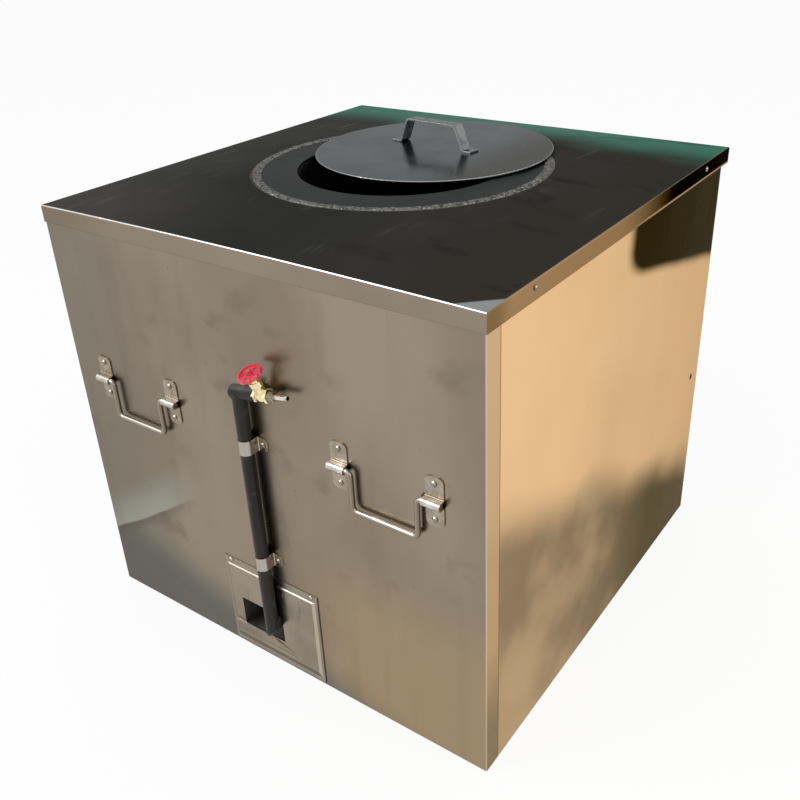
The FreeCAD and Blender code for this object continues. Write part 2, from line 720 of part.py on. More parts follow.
# Burner: gas jet, mixing tube with a bell mouth, ported head on three rods
jet_start = V(riser_x, feed_end, feed_height)
jet_tip_start = jet_start + Y * jet_hex_length
gas_jet = hexagon(jet_hex, jet_hex_length, jet_start, Y)
gas_jet = gas_jet.fuse(Part.makeCone(jet_tip_radius, jet_tip_radius / 2, jet_tip_length, jet_tip_start, Y))
gas_jet = gas_jet.cut(rod(jet_orifice, reach, jet_start, Y))
bell_start = jet_tip_start + Y * (jet_tip_length - bell_overlap)
mixer_start = bell_start + Y * bell_length
mixer_length = -mixer_start.y
head_outside = rod(head_radius, head_top - head_bottom, Z * head_bottom, Z)
mixing_tube = Part.makeCone(bell_radius, mixer_radius, bell_length, bell_start, Y)
mixing_tube = mixing_tube.fuse(rod(mixer_radius, mixer_length, mixer_start, Y))
mixing_bore = Part.makeCone(bell_radius - mixer_wall, mixer_radius - mixer_wall, bell_length, bell_start, Y)
mixing_bore = mixing_bore.fuse(rod(mixer_radius - mixer_wall, mixer_length, mixer_start, Y))
mixing_tube = mixing_tube.cut([mixing_bore, head_outside]).removeSplitter()
burner_head = revolved([line(0, head_bottom, head_radius, head_bottom),
                        line(head_radius, head_bottom, head_radius, head_shoulder),
                        line(head_radius, head_shoulder, head_top_radius, head_top),
                        line(head_top_radius, head_top, 0, head_top),
                        line(0, head_top, 0, head_bottom)])
head_core = rod(head_radius - head_wall, head_shoulder - head_bottom - head_wall,
                Z * (head_bottom + head_wall), Z)
port_circle = (head_radius + head_top_radius) / 2
ports = []
for i in range(port_count):
    turn = math.radians(360 * i / port_count)
    spot = V(math.cos(turn), math.sin(turn), 0) * port_circle
    ports.append(rod(port_radius, head_top, spot + Z * (head_shoulder - 2 * head_wall), Z))
burner_head = burner_head.cut([head_core, mixing_bore] + ports)


def three_rods(radius, circle, top, first_angle):
    """Three upright rods on the base plate, evenly round a circle."""
    turns = [math.radians(first_angle + 120 * i) for i in range(3)]
    feet = [V(math.cos(t) * circle, math.sin(t) * circle, base_sheet) for t in turns]
    return [rod(radius, top - base_sheet, foot, Z) for foot in feet]


burner_stand = three_rods(stand_rod_radius, stand_circle, head_bottom, stand_turn)

# Flame deflector: a dished disc over the burner on three legs, with an eye in its middle
dish_radius = (deflector_radius ** 2 + deflector_dish ** 2) / (2 * deflector_dish)


def dish_height(radius):
    """Height of the dish's underside at a radius, on a round arc."""
    sag = dish_radius - math.sqrt(dish_radius ** 2 - radius ** 2)
    return deflector_height + deflector_dish - sag


dish_radii = (deflector_eye, deflector_radius / 2, deflector_radius)
dish_under = [coordinate for r in dish_radii for coordinate in (r, dish_height(r))]
dish_over = [coordinate for r in dish_radii for coordinate in (r, dish_height(r) + deflector_sheet)]
flame_deflector = revolved([arc(*dish_under), arc(*dish_over),
                            line(*dish_under[:2], *dish_over[:2]), line(*dish_under[4:], *dish_over[4:])])
long_legs = three_rods(deflector_leg_radius, deflector_leg_circle, deflector_height + deflector_sheet,
                       deflector_leg_turn)
deflector_legs = [leg.cut(flame_deflector).Solids[0] for leg in long_legs]

# Lid: a flat disc with a bent strip handle, slid back to leave part of the mouth open
lid_centre = V(lid_x, lid_y, lid_bottom)
lid_plate = rod(lid_radius, lid_plate_thickness, lid_centre, Z)
lid_plate = lid_plate.makeFillet(lid_edge_round, [e for e in lid_plate.Edges if e.Length > lid_radius])
grip_height = strip_height - strip_thickness
half_lengths = (strip_foot_length / 2, strip_base_length / 2, strip_top_length / 2)
strip_left = [V(-half_lengths[0], 0, 0), V(-half_lengths[1], 0, 0), V(-half_lengths[2], 0, grip_height)]
strip_right = [V(-p.x, p.y, p.z) for p in reversed(strip_left)]
strip_centre = V(lid_x + strip_shift_x, lid_y + strip_shift_y, lid_top)
strip_start = strip_centre + Y * (strip_width / 2)
strip_radii = [strip_bend + strip_thickness, strip_bend, strip_bend, strip_bend + strip_thickness]
lid_handle = bent_strip([strip_start + p for p in strip_left + strip_right], strip_radii,
                        strip_thickness, Y * -strip_width)
lid_handle.rotate(strip_centre, Z, strip_turn)

# Every node is written to its own file
os.makedirs("parts", exist_ok=True)
save("base_plate", base_plate)
save("corner_posts", group(corner_posts))
save("base_rails", group(base_rails))
save("top_rails", group(top_rails))
save("front_panel", front_panel)
save("back_panel", back_panel)
save("left_panel", left_panel)
save("right_panel", right_panel)
save("top_tray", top_tray)
save("tray_screws", group(tray_screws))
save("collar_ring", collar_ring)
save("collar_weld", collar_weld)
save("clay_pot", clay_pot)
save("pot_support_ring", pot_support_ring)
save("insulation_fill", insulation_fill)
save("burner_tunnel", burner_tunnel)
save("burner_cover", burner_cover)
save("burner_cover_rivets", group(burner_cover_rivets))
save("gas_riser", gas_riser)
save("burner_feed_pipe", burner_feed_pipe)
save("valve_stub_pipe", valve_stub_pipe)
save("pipe_welds", group(pipe_welds))
save("pipe_clip_upper", clips[0])
save("pipe_clip_lower", clips[1])
save("pipe_clip_screws", group(pipe_clip_screws))
save("gas_jet", gas_jet)
save("mixing_tube", mixing_tube)
save("burner_head", burner_head)
save("burner_stand", group(burner_stand))
save("flame_deflector", flame_deflector)
save("deflector_legs", group(deflector_legs))
valve_pieces = {"valve_body": valve_body, "valve_bonnet": valve_bonnet, "packing_nut": packing_nut,
                "valve_disc": valve_disc, "valve_stem": valve_stem, "handwheel": handwheel,
                "handwheel_nut": handwheel_nut, "hose_nozzle": hose_nozzle}
for name, piece in valve_pieces.items():
    save(name, in_valve(piece))
for side_name, side in (("left", -1), ("right", 1)):
    bail = front_bail(side * handle_x)
    saddles = front_saddles(side * handle_x)
    save("front_" + side_name + "_bail", bail)
    save("front_" + side_name + "_saddles", group(saddles))
    save("back_" + side_name + "_bail", to_back(front_bail(-side * handle_x)))
    save("back_" + side_name + "_saddles", group([to_back(s) for s in front_saddles(-side * handle_x)]))
save("front_handle_rivets", group(handle_rivets))
save("back_handle_rivets", group([to_back(r) for r in handle_rivets]))
save("lid_plate", lid_plate)
save("lid_handle", lid_handle)
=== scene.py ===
import json
import math

import bmesh
import bpy
from mathutils import Matrix, Vector, noise

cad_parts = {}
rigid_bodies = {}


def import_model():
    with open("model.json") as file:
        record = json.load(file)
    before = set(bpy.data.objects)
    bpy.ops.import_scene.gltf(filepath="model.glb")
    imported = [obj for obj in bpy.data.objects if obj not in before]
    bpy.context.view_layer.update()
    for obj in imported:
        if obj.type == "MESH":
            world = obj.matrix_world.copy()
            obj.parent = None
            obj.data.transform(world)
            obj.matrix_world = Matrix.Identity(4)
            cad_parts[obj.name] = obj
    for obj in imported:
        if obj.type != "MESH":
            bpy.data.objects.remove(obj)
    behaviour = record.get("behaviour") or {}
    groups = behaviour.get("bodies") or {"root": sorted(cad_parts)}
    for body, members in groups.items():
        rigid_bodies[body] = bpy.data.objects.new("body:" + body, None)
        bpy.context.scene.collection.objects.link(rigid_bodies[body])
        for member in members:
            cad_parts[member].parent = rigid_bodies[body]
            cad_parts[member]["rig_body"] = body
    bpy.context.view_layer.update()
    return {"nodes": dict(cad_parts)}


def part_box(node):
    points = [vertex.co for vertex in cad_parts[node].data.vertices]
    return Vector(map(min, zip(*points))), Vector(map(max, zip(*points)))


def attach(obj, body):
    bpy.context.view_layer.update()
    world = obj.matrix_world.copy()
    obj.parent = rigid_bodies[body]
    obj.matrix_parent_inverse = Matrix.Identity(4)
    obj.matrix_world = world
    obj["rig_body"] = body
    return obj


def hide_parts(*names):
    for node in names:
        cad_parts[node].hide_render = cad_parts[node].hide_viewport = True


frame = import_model()

# The oven stands on a base plate inside a welded frame of angle iron, brushed with dark primer.
# All of it is hidden by the casing, apart from what shows from below.


class Shade:
    """One socket of a material's nodes: sums on it add Math nodes, and node() adds any other node."""

    def __init__(self, tree, socket=None):
        self.tree = tree
        self.socket = socket

    def node(self, kind, settings=None, sockets=None, out=None):
        """Adds a node, with its settings first and then the values or links of its sockets."""
        made = self.tree.nodes.new("ShaderNode" + kind)
        for name, value in (settings or {}).items():
            setattr(made, name, value)
        for name, value in (sockets or {}).items():
            socket = next(s for s in made.inputs if name in (s.identifier, s.name))
            if isinstance(value, Shade):
                self.tree.links.new(value.socket, socket)
            else:
                socket.default_value = value
        outputs = [s for s in made.outputs if out in (None, s.identifier, s.name)]
        return Shade(self.tree, outputs[0]) if outputs else None

    def maths(self, operation, first, second):
        return self.node("Math", {"operation": operation}, {"Value": first, "Value_001": second})

    def __add__(self, other):
        return self.maths("ADD", self, other)

    def __radd__(self, other):
        return self.maths("ADD", other, self)

    def __sub__(self, other):
        return self.maths("SUBTRACT", self, other)

    def __rsub__(self, other):
        return self.maths("SUBTRACT", other, self)

    def __mul__(self, other):
        return self.maths("MULTIPLY", self, other)

    def __rmul__(self, other):
        return self.maths("MULTIPLY", other, self)


def start_finish(name):
    """An empty material, and the place on the part, in metres, that its patterns are drawn over."""
    material = bpy.data.materials.new(name)
    material.use_nodes = True
    material.node_tree.nodes.clear()
    return material, Shade(material.node_tree).node("TexCoord", out="Object")


def end_finish(place, sockets):
    """Joins a shader with these sockets to the material's output."""
    shader = place.node("BsdfPrincipled", {}, sockets)
    place.node("OutputMaterial", {}, {"Surface": shader})


def grain(place, scale, detail=3.0, stretch=(1, 1, 1)):
    """Noise with features of about one over scale metres, drawn out along the axes with a small stretch."""
    spot = place.node("VectorMath", {"operation": "MULTIPLY"}, {"Vector": place, "Vector_001": stretch})
    return place.node("TexNoise", {}, {"Vector": spot, "Scale": scale, "Detail": detail})


def between(value, low, high):
    """Rises softly from 0 at low to 1 at high."""
    ends = {"Value": value, "From Min": low, "From Max": high}
    return value.node("MapRange", {"interpolation_type": "SMOOTHSTEP"}, ends)


def patches(place, scale, low, high, detail=3.0, stretch=(1, 1, 1)):
    """Soft patches from 0 to 1."""
    return between(grain(place, scale, detail, stretch), low, high)


def mixed(mask, under, over):
    """One colour laid over another by a mask."""
    colours = {"Factor_Float": mask, "A_Color": under, "B_Color": over}
    return mask.node("Mix", {"data_type": "RGBA"}, colours, "Result_Color")


def along(place, axis):
    """One coordinate of the place on the part."""
    return place.node("SeparateXYZ", {}, {"Vector": place}, axis)


def relief(height, depth):
    """Surface normal over a height from 0 to 1 that is this deep, in metres."""
    return height.node("Bump", {}, {"Height": height, "Distance": depth, "Strength": 1.0}, "Normal")


def dress(finish, *names):
    """Gives CAD nodes their finish."""
    for name in names:
        frame["nodes"][name].material_slots[0].material = finish


primer, place = start_finish("dark_primer")
rust = patches(place, 30.0, 0.55, 0.72)
end_finish(place, {"Base Color": mixed(rust, (0.035, 0.035, 0.035, 1), (0.12, 0.05, 0.025, 1)),
                   "Roughness": 0.55 + 0.25 * rust, "Normal": relief(grain(place, 220.0), 0.0003)})
dress(primer, "base_plate", "corner_posts", "base_rails", "top_rails", "burner_stand", "deflector_legs")

# Under the pot lie a ring of firebrick, a cast-iron burner with its mixing tube, and a dished plate over it.
# A brass jet on the feed pipe blows gas into the tube's bell mouth.
brick, place = start_finish("sooty_firebrick")
soot = patches(place, 9.0, 0.35, 0.70)
end_finish(place, {"Base Color": mixed(soot, (0.45, 0.34, 0.21, 1), (0.13, 0.10, 0.075, 1)),
                   "Roughness": 0.92, "Normal": relief(grain(place, 160.0, 6.0), 0.0012)})
dress(brick, "pot_support_ring")

iron, place = start_finish("burner_cast_iron")
scale_patch = patches(place, 24.0, 0.40, 0.70)
end_finish(place, {"Base Color": mixed(scale_patch, (0.040, 0.038, 0.036, 1), (0.085, 0.055, 0.038, 1)),
                   "Metallic": 0.6, "Roughness": 0.62 + 0.2 * scale_patch,
                   "Normal": relief(grain(place, 320.0, 4.0), 0.0005)})
dress(iron, "mixing_tube", "burner_head", "flame_deflector")

# The pot is thrown in thick clay, fired, and blackened by the flame near its foot and its mouth. The
# near-black towards its mouth is also painted shade for its unlit inside.
# Loose insulation fills the casing around it, out of sight.
clay, place = start_finish("fired_clay")
throwing_lines = grain(place, 6.0, 3.0, (0.15, 0.15, 9.0))
soot = patches(place, 7.0, 0.30, 0.62)
clay_colour = mixed(throwing_lines, (0.20, 0.105, 0.065, 1), (0.27, 0.155, 0.10, 1))
clay_colour = mixed(soot, clay_colour, (0.035, 0.028, 0.024, 1))
# Near-black towards the mouth: soot, and painted shade inside the pot.
soot_and_shade_at_mouth = between(along(place, "Z") + 0.06 * soot, 0.50, 0.66)
clay_colour = mixed(soot_and_shade_at_mouth, clay_colour, (0.010, 0.0105, 0.010, 1))
end_finish(place, {"Base Color": clay_colour, "Roughness": 0.95,
                   "Normal": relief(throwing_lines + 0.4 * grain(place, 190.0, 5.0), 0.002)})
dress(clay, "clay_pot")

fill, place = start_finish("loose_insulation")
flakes = patches(place, 240.0, 0.35, 0.65)
end_finish(place, {"Base Color": mixed(flakes, (0.62, 0.57, 0.47, 1), (0.76, 0.72, 0.62, 1)),
                   "Roughness": 1.0, "Normal": relief(flakes, 0.002)})
dress(fill, "insulation_fill")

# The casing is polished stainless sheet. Front and back are folded round the corners, and the sides fit
# between. It is wavy, smudged and specked. Its reflections are painted into its colour: grey tones, warm
# ground and a pale slanting band at the front, golden light, earthy ground and a dark shape on the right
# side, a highlight down the corner fold and a shadow in the side seam. Painted shade darkens the lower left
# of the front.


def painted_side_reflections(place):
    """Painted reflections on the right side: golden light above, earthy ground below and a dark shape at the
    upper back.
    """
    depth = along(place, "Y")
    upright = along(place, "Z")
    ripple = grain(place, 4.0, 1.5)
    blotch = patches(place, 8.0, 0.34, 0.66, 2.5)
    # Painted reflections: golden light above, the earthy ground below.
    glow = mixed(patches(place, 3.0, 0.3, 0.7), (0.98, 0.65, 0.355, 1), (0.90, 0.585, 0.300, 1))
    reflected_near_ground = mixed(blotch, (0.52, 0.380, 0.230, 1), (0.345, 0.250, 0.155, 1))
    # A painted pool of reflected light, low down near the front.
    painted_lit_ground = (1 - between(upright, 0.06, 0.26)) * (1 - between(depth + 0.2 * ripple, -0.20, 0.02))
    reflected_near_ground = mixed(painted_lit_ground * 0.7, reflected_near_ground, (0.72, 0.51, 0.300, 1))
    ground = mixed(between(depth, -0.10, 0.20), reflected_near_ground, (0.125, 0.092, 0.047, 1))
    below = 1 - between(upright + 0.46 * depth + 0.16 * ripple, 0.30, 0.39)
    # A painted dark reflection in the corner at the upper back.
    corner = (between(depth + 0.03 * ripple, -0.02, 0.08)
              * between(upright + 0.27 * depth + 0.03 * ripple, 0.635, 0.69))
    return mixed(between(corner, 0.05, 0.62), mixed(below, glow, ground), (0.017, 0.014, 0.007, 1))


def past(value, line, blur):
    """Rises softly from 0 to 1 across a line, over this much on each side."""
    return between(value, line - blur, line + blur)


seam_depth = -0.3668
tack_place = (0.399, 0.337, 0.316)
casing_steel, place = start_finish("casing_stainless")
facing = place.node("NewGeometry", out="Normal")
across = along(place, "X")
upright = along(place, "Z")
smudge = patches(place, 4.2, 0.34, 0.68, 4.0, (1.0, 1.0, 0.6))
drips = patches(place, 26.0, 0.52, 0.74, 2.0, (1.0, 1.0, 0.09))
specks = patches(place, 190.0, 0.66, 0.74, 4.0) * patches(place, 9.0, 0.50, 0.66)
to_right = between(across, -0.40, 0.10)
pale_steel = mixed(to_right, (0.312, 0.278, 0.222, 1), (0.330, 0.268, 0.208, 1))
dull_steel = mixed(to_right, (0.252, 0.224, 0.180, 1), (0.262, 0.214, 0.166, 1))
front_colour = mixed(smudge, pale_steel, dull_steel)
stains = patches(place, 13.0, 0.56, 0.70, 5.0) * patches(place, 3.4, 0.46, 0.60)
front_colour = mixed(stains * 0.45, front_colour, (0.165, 0.138, 0.110, 1))
rust_spots = patches(place, 60.0, 0.66, 0.74, 4.0) * patches(place, 6.0, 0.56, 0.66)
rust_spots = rust_spots * between(upright, 0.56, 0.68)
front_colour = mixed(rust_spots * 0.6, front_colour, (0.33, 0.20, 0.10, 1))
on_front = 1 - between(along(facing, "Y"), -0.90, -0.50)
# Painted reflection of the warm ground, low on the right of the front.
reflected_warm_ground = on_front * between(across, 0.0, 0.22) * (1 - between(upright, 0.14, 0.34))
front_colour = mixed(reflected_warm_ground, front_colour, (0.365, 0.275, 0.170, 1))
shaded_ground = on_front * (1 - between(upright + 0.3 * across, -0.01, 0.11))
front_colour = mixed(shaded_ground, front_colour, (0.166, 0.160, 0.148, 1))
# A painted reflection on the left of the front: a pale band slanting up to the right, with a dark line under
# it.
over_line = upright - 0.65 * across + 0.02 * grain(place, 5.0)
fading = on_front * (1 - between(across, -0.27, -0.13))
reflected_pale_band = between(over_line, 0.383, 0.387) * (1 - between(over_line, 0.385, 0.475)) * fading
reflected_dark_line = between(over_line, 0.355, 0.383) * (1 - between(over_line, 0.383, 0.387)) * fading
front_colour = mixed(reflected_pale_band * 0.8, front_colour, (0.385, 0.390, 0.350, 1))
front_colour = mixed(reflected_dark_line * 0.55, front_colour, (0.130, 0.120, 0.105, 1))
front_colour = mixed(drips * 0.09, front_colour, (0.150, 0.122, 0.098, 1))
front_colour = mixed(specks * 0.45, front_colour, (0.110, 0.090, 0.072, 1))
turned_right = along(facing, "X")
# A painted highlight down the rounded corner fold.
fold = between(turned_right, 0.12, 0.40) * (1 - between(turned_right, 0.70, 0.95))
depth = along(place, "Y")
front_strip = 1 - past(depth, seam_depth, 0.0006)
# The front sheet's strip round the corner has painted reflections too: earthy below, golden above.
strip_colour = mixed(between(upright, 0.06, 0.26), (0.300, 0.225, 0.140, 1), (0.66, 0.45, 0.250, 1))
side_colour = mixed(front_strip * 0.85, painted_side_reflections(place), strip_colour)
# A painted shadow in the seam where the front's strip meets the side.
seam_shadow = past(depth, seam_depth - 0.0012, 0.0004) * (1 - past(depth, seam_depth + 0.0010, 0.0004))
side_colour = mixed(seam_shadow * 0.6, side_colour, (0.15, 0.105, 0.06, 1))
from_tack = place.node("VectorMath", {"operation": "DISTANCE"},
                       {"Vector": place, "Vector_001": tack_place}, "Value")
side_colour = mixed(1 - between(from_tack, 0.0045, 0.0070), side_colour, (0.020, 0.014, 0.009, 1))
colour = mixed(between(turned_right, 0.55, 0.90), front_colour, side_colour)
wave = grain(place, 2.6, 2.0) + 0.02 * grain(place, 60.0, 3.0)
end_finish(place, {"Base Color": mixed(fold * 0.75, colour, (0.58, 0.52, 0.40, 1)), "Metallic": 1.0,
                   "Roughness": 0.25 + 0.08 * smudge + 0.05 * drips + 0.2 * specks,
                   "Specular Tint": (0.50, 0.47, 0.42, 1), "Normal": relief(wave, 0.006)})
dress(casing_steel, "front_panel", "back_panel", "left_panel", "right_panel")

# A sheet tunnel leads from the front to the burner. The cover over its mouth is a shallow pressed pan
# with a cut opening and a ledge that leans outwards under it, held by two rivets.
tunnel_sheet, place = start_finish("sooty_sheet")
soot = patches(place, 16.0, 0.30, 0.65)
end_finish(place, {"Base Color": mixed(soot, (0.30, 0.28, 0.24, 1), (0.07, 0.06, 0.055, 1)), "Metallic": 0.9,
                   "Roughness": 0.45 + 0.3 * soot, "Normal": relief(grain(place, 90.0), 0.0006)})
dress(tunnel_sheet, "burner_tunnel")


def eased(node, ease, finish, corner=32.0):
    """A copy of a node with its sharp edges eased as deburring and handling leave them."""
    source = frame["nodes"][node]
    mesh = source.data.copy()
    form = bmesh.new()
    form.from_mesh(mesh)
    same_point = 1e-6
    bmesh.ops.remove_doubles(form, verts=form.verts, dist=same_point)
    flat = math.radians(0.4)
    bmesh.ops.dissolve_limit(form, angle_limit=flat, verts=form.verts, edges=form.edges)
    limit = math.radians(corner)
    sharp = [e for e in form.edges if len(e.link_faces) == 2 and e.calc_face_angle() > limit]
    bmesh.ops.bevel(form, geom=sharp, offset=ease, segments=2, profile=0.5, affect="EDGES",
                    clamp_overlap=True)
    form.to_mesh(mesh)
    form.free()
    mesh.shade_smooth()
    mesh.set_sharp_from_angle(angle=limit)
    mesh.materials.clear()
    mesh.materials.append(finish)
    piece = bpy.data.objects.new(node + "_eased", mesh)
    bpy.context.scene.collection.objects.link(piece)
    level = piece.modifiers.new("level_faces", "WEIGHTED_NORMAL")
    level.keep_sharp = True
    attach(piece, source["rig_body"])
    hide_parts(node)


sill_depth = -0.4022
cover_right = 0.0944
cover_top = 0.1831
cover_steel, place = start_finish("cover_stainless")
facing = place.node("NewGeometry", out="Normal")
smudge = patches(place, 14.0, 0.34, 0.68, 4.0)
scratch = patches(place, 90.0, 0.58, 0.74, 3.0, (1.0, 1.0, 0.2))
colour = mixed(smudge, (0.330, 0.290, 0.235, 1), (0.270, 0.236, 0.190, 1))
# Painted light: the slope facing right is lighter, and faces turned up lighter still, a painted highlight.
colour = mixed(between(along(facing, "X"), 0.15, 0.26), colour, (0.47, 0.405, 0.32, 1))
colour = mixed(between(along(facing, "Z"), 0.25, 0.60), colour, (0.66, 0.61, 0.52, 1))
# Painted shade on the slope under the raised middle, apart from the outward ledge.
shaded_lower_slope = 1 - between(along(facing, "Z"), -0.17, -0.09)
sill = 1 - past(along(place, "Y"), sill_depth, 0.0002)
colour = mixed(shaded_lower_slope * (1 - sill), colour, (0.165, 0.155, 0.132, 1))
edge_shade = past(along(place, "X"), cover_right, 0.0002)
colour = mixed(edge_shade * 0.8, colour, (0.060, 0.052, 0.042, 1))
top_edge = past(along(place, "Z"), cover_top, 0.0003)
colour = mixed(top_edge, colour, (0.21, 0.185, 0.15, 1))
# Painted light on the upward face of the outward-leaning ledge.
ledge = between(along(facing, "Z"), 0.45, 0.75) * sill
colour = mixed(scratch * 0.4, colour, (0.16, 0.14, 0.115, 1))
end_finish(place, {"Base Color": mixed(ledge, colour, (0.42, 0.385, 0.32, 1)), "Metallic": 1 - 0.9 * ledge,
                   "Roughness": 0.20 + 0.10 * smudge + 0.15 * scratch, "Specular Tint": (0.60, 0.56, 0.50, 1),
                   "Normal": relief(grain(place, 9.0, 2.0), 0.0015)})
eased("burner_cover", 0.0004, cover_steel, 8.0)
dress(cover_steel, "burner_cover_rivets")

# The top is one stainless sheet, crowned by the heat of welding and folded down over the casing on all four
# sides. Its face is scuffed, and its reflections are painted into its colour: the dark above it, a haze,
# green and a pale patch, with golden and dark ones on the right flange and a highlight along the folded
# edges.
tray_low, tray_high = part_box("top_tray")
tray_half = tray_high.x
fold_radius = 0.0026
tray_thickness = 0.0012
fold_height = 0.733
weld_circle = 0.234
tray_hole = 0.241
crown_at_weld = 0.0156
crown_height = crown_at_weld / (1 - (weld_circle / tray_half) ** 2)
front_bow = 0.0035
tray_spokes = 384
tray_rings = 40
fold_steps = 6
edge_ease = 0.0006
fold_crease = math.radians(40)
# Where the painted pale reflection at the near corner of the top begins.
pale_corner_reflection_line = 0.756
# How high the painted golden band, low on the right flange, reaches.
golden_band_top = 0.7092


def tray_level(x, y):
    """Height of the crowned sheet over a point."""
    u = x / tray_half
    v = y / tray_half
    bow = front_bow * (1 - u * u) * ((1 - v) / 2) ** 4
    return fold_height + crown_height * (1 - u * u) * (1 - v * v) + bow


def tray_spoke(turn):
    """Points of the sheet from the hole outwards along one direction, over the fold and down the flange."""
    across = Vector((math.cos(turn), math.sin(turn)))
    outwards = tray_half / max(abs(across.x), abs(across.y))
    points = []
    edge = tray_half - fold_radius
    stop = outwards * edge / tray_half
    for i in range(tray_rings + 1):
        reach = tray_hole + (stop - tray_hole) * i / tray_rings
        spot = across * reach
        points.append(Vector((spot.x, spot.y, tray_level(spot.x, spot.y))))
    brink = points[-1].z
    for i in range(1, fold_steps + 1):
        bend = math.pi / 2 * i / fold_steps
        spot = across * (outwards * (edge + fold_radius * math.sin(bend)) / tray_half)
        points.append(Vector((spot.x, spot.y, brink - fold_radius * (1 - math.cos(bend)))))
    foot = points[-1]
    for level in (foot.z - edge_ease, tray_low.z + edge_ease, tray_low.z):
        points.append(Vector((foot.x, foot.y, level)))
    return points


form = bmesh.new()
spokes = []
for i in range(tray_spokes):
    turn = math.radians(360 * i / tray_spokes)
    spokes.append([form.verts.new(point) for point in tray_spoke(turn)])
for spoke, following in zip(spokes, spokes[1:] + spokes[:1]):
    for i in range(len(spoke) - 1):
        form.faces.new((spoke[i], spoke[i + 1], following[i + 1], following[i]))
tray_mesh = bpy.data.meshes.new("tray_sheet")
form.to_mesh(tray_mesh)
form.free()
tray_mesh.shade_smooth()
tray_mesh.set_sharp_from_angle(angle=fold_crease)

tray_steel, place = start_finish("tray_stainless")
facing = place.node("NewGeometry", out="Normal")
level_face = between(along(facing, "Z"), 0.75, 0.97)
across = along(place, "X")
depth = along(place, "Y")
scuff = patches(place, 38.0, 0.54, 0.72, 5.0, (1.0, 0.35, 1.0)) * patches(place, 5.0, 0.44, 0.64)
haze = patches(place, 3.6, 0.35, 0.70)
strokes = patches(place, 20.0, 0.54, 0.74, 4.0, (0.45, 1.2, 1.0)) * between(across, 0.05, 0.25)
# The face's dark tones are its painted reflection of the dark above it, browner towards the right.
face_colour = mixed(haze, (0.028, 0.028, 0.026, 1), (0.038, 0.038, 0.036, 1))
face_colour = mixed(between(across, 0.05, 0.38) * 0.75, face_colour, (0.036, 0.031, 0.025, 1))
# Painted reflection: a lighter haze at the near left.
hazy_reflection_near_left = (1 - between(across, -0.36, 0.02)) * (1 - between(depth, -0.38, -0.16))
face_colour = mixed(hazy_reflection_near_left, face_colour, (0.058, 0.056, 0.052, 1))
# Painted reflection: green along the far edge.
green_reflection_far_edge = between(depth + 0.08 * haze, 0.24, 0.37)
face_colour = mixed(green_reflection_far_edge, face_colour, (0.054, 0.160, 0.120, 1))
face_colour = mixed(scuff * 0.35, face_colour, (0.070, 0.066, 0.060, 1))
face_colour = mixed(strokes * 0.45, face_colour, (0.012, 0.011, 0.010, 1))
scratches = patches(place, 60.0, 0.62, 0.70, 2.0, (1.0, 0.08, 1.0)) * patches(place, 4.0, 0.46, 0.62)
face_colour = mixed(scratches * 0.35, face_colour, (0.10, 0.098, 0.092, 1))
# Painted reflection: a pale patch at the near corner.
pale_reflection_near_corner = past(across - depth, pale_corner_reflection_line, 0.004)
face_colour = mixed(pale_reflection_near_corner, face_colour, (0.235, 0.250, 0.245, 1))
flange_colour = mixed(haze, (0.290, 0.240, 0.188, 1), (0.235, 0.196, 0.152, 1))
# Painted reflections on the right flange: golden near the front, browner at its front end, dark at the back,
# and a golden band low on its middle.
golden_reflection_band = (1 - past(along(place, "Z"), golden_band_top, 0.0004)) * between(depth, -0.05, 0.10)
side_flange_reflections = mixed(between(depth, -0.06, 0.16), (0.42, 0.262, 0.128, 1), (0.032, 0.026, 0.017, 1))
side_flange_reflections = mixed((1 - between(depth, -0.385, -0.34)) * 0.6, side_flange_reflections, (0.17, 0.115, 0.055, 1))
side_flange_reflections = mixed(golden_reflection_band, side_flange_reflections, (0.62, 0.43, 0.24, 1))
flange_colour = mixed(between(along(facing, "X"), 0.55, 0.90), flange_colour, side_flange_reflections)
# Painted highlight along the folded edges that turn partly upwards.
folded_edge_highlight = between(along(facing, "Z"), 0.12, 0.40) * (1 - between(along(facing, "X"), 0.10, 0.30))
fold_colour = mixed(folded_edge_highlight, flange_colour, (0.74, 0.73, 0.70, 1))
tray_colour = mixed(level_face, fold_colour, face_colour)
end_finish(place, {"Base Color": tray_colour, "Metallic": 1 - 0.85 * level_face,
                   "Roughness": 0.14 + 0.08 * haze + 0.20 * scuff, "Specular Tint": (0.35, 0.35, 0.35, 1),
                   "Specular IOR Level": 0.0, "Normal": relief(grain(place, 2.8, 2.0), 0.004)})
tray_mesh.materials.append(tray_steel)
tray_sheet = bpy.data.objects.new("tray_sheet", tray_mesh)
bpy.context.scene.collection.objects.link(tray_sheet)
thickness = tray_sheet.modifiers.new("sheet_thickness", "SOLIDIFY")
thickness.thickness = tray_thickness
thickness.offset = -1.0
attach(tray_sheet, "cabinet")
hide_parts("top_tray")

# A ring of dull steel plate round the pot's mouth is welded into the top. The bead was laid by hand,
# so it is lumpy, rippled and paler than the plate.
ring_plate, place = start_finish("dull_ring_plate")
rub = patches(place, 14.0, 0.42, 0.72, 4.0)
ring_colour = mixed(rub, (0.040, 0.042, 0.043, 1), (0.055, 0.056, 0.055, 1))
end_finish(place, {"Base Color": ring_colour, "Metallic": 1.0,
                   "Roughness": 0.38 + 0.15 * rub, "Specular Tint": (0.5, 0.5, 0.5, 1),
                   "Normal": relief(grain(place, 260.0, 4.0), 0.0004)})
dress(ring_plate, "collar_ring")

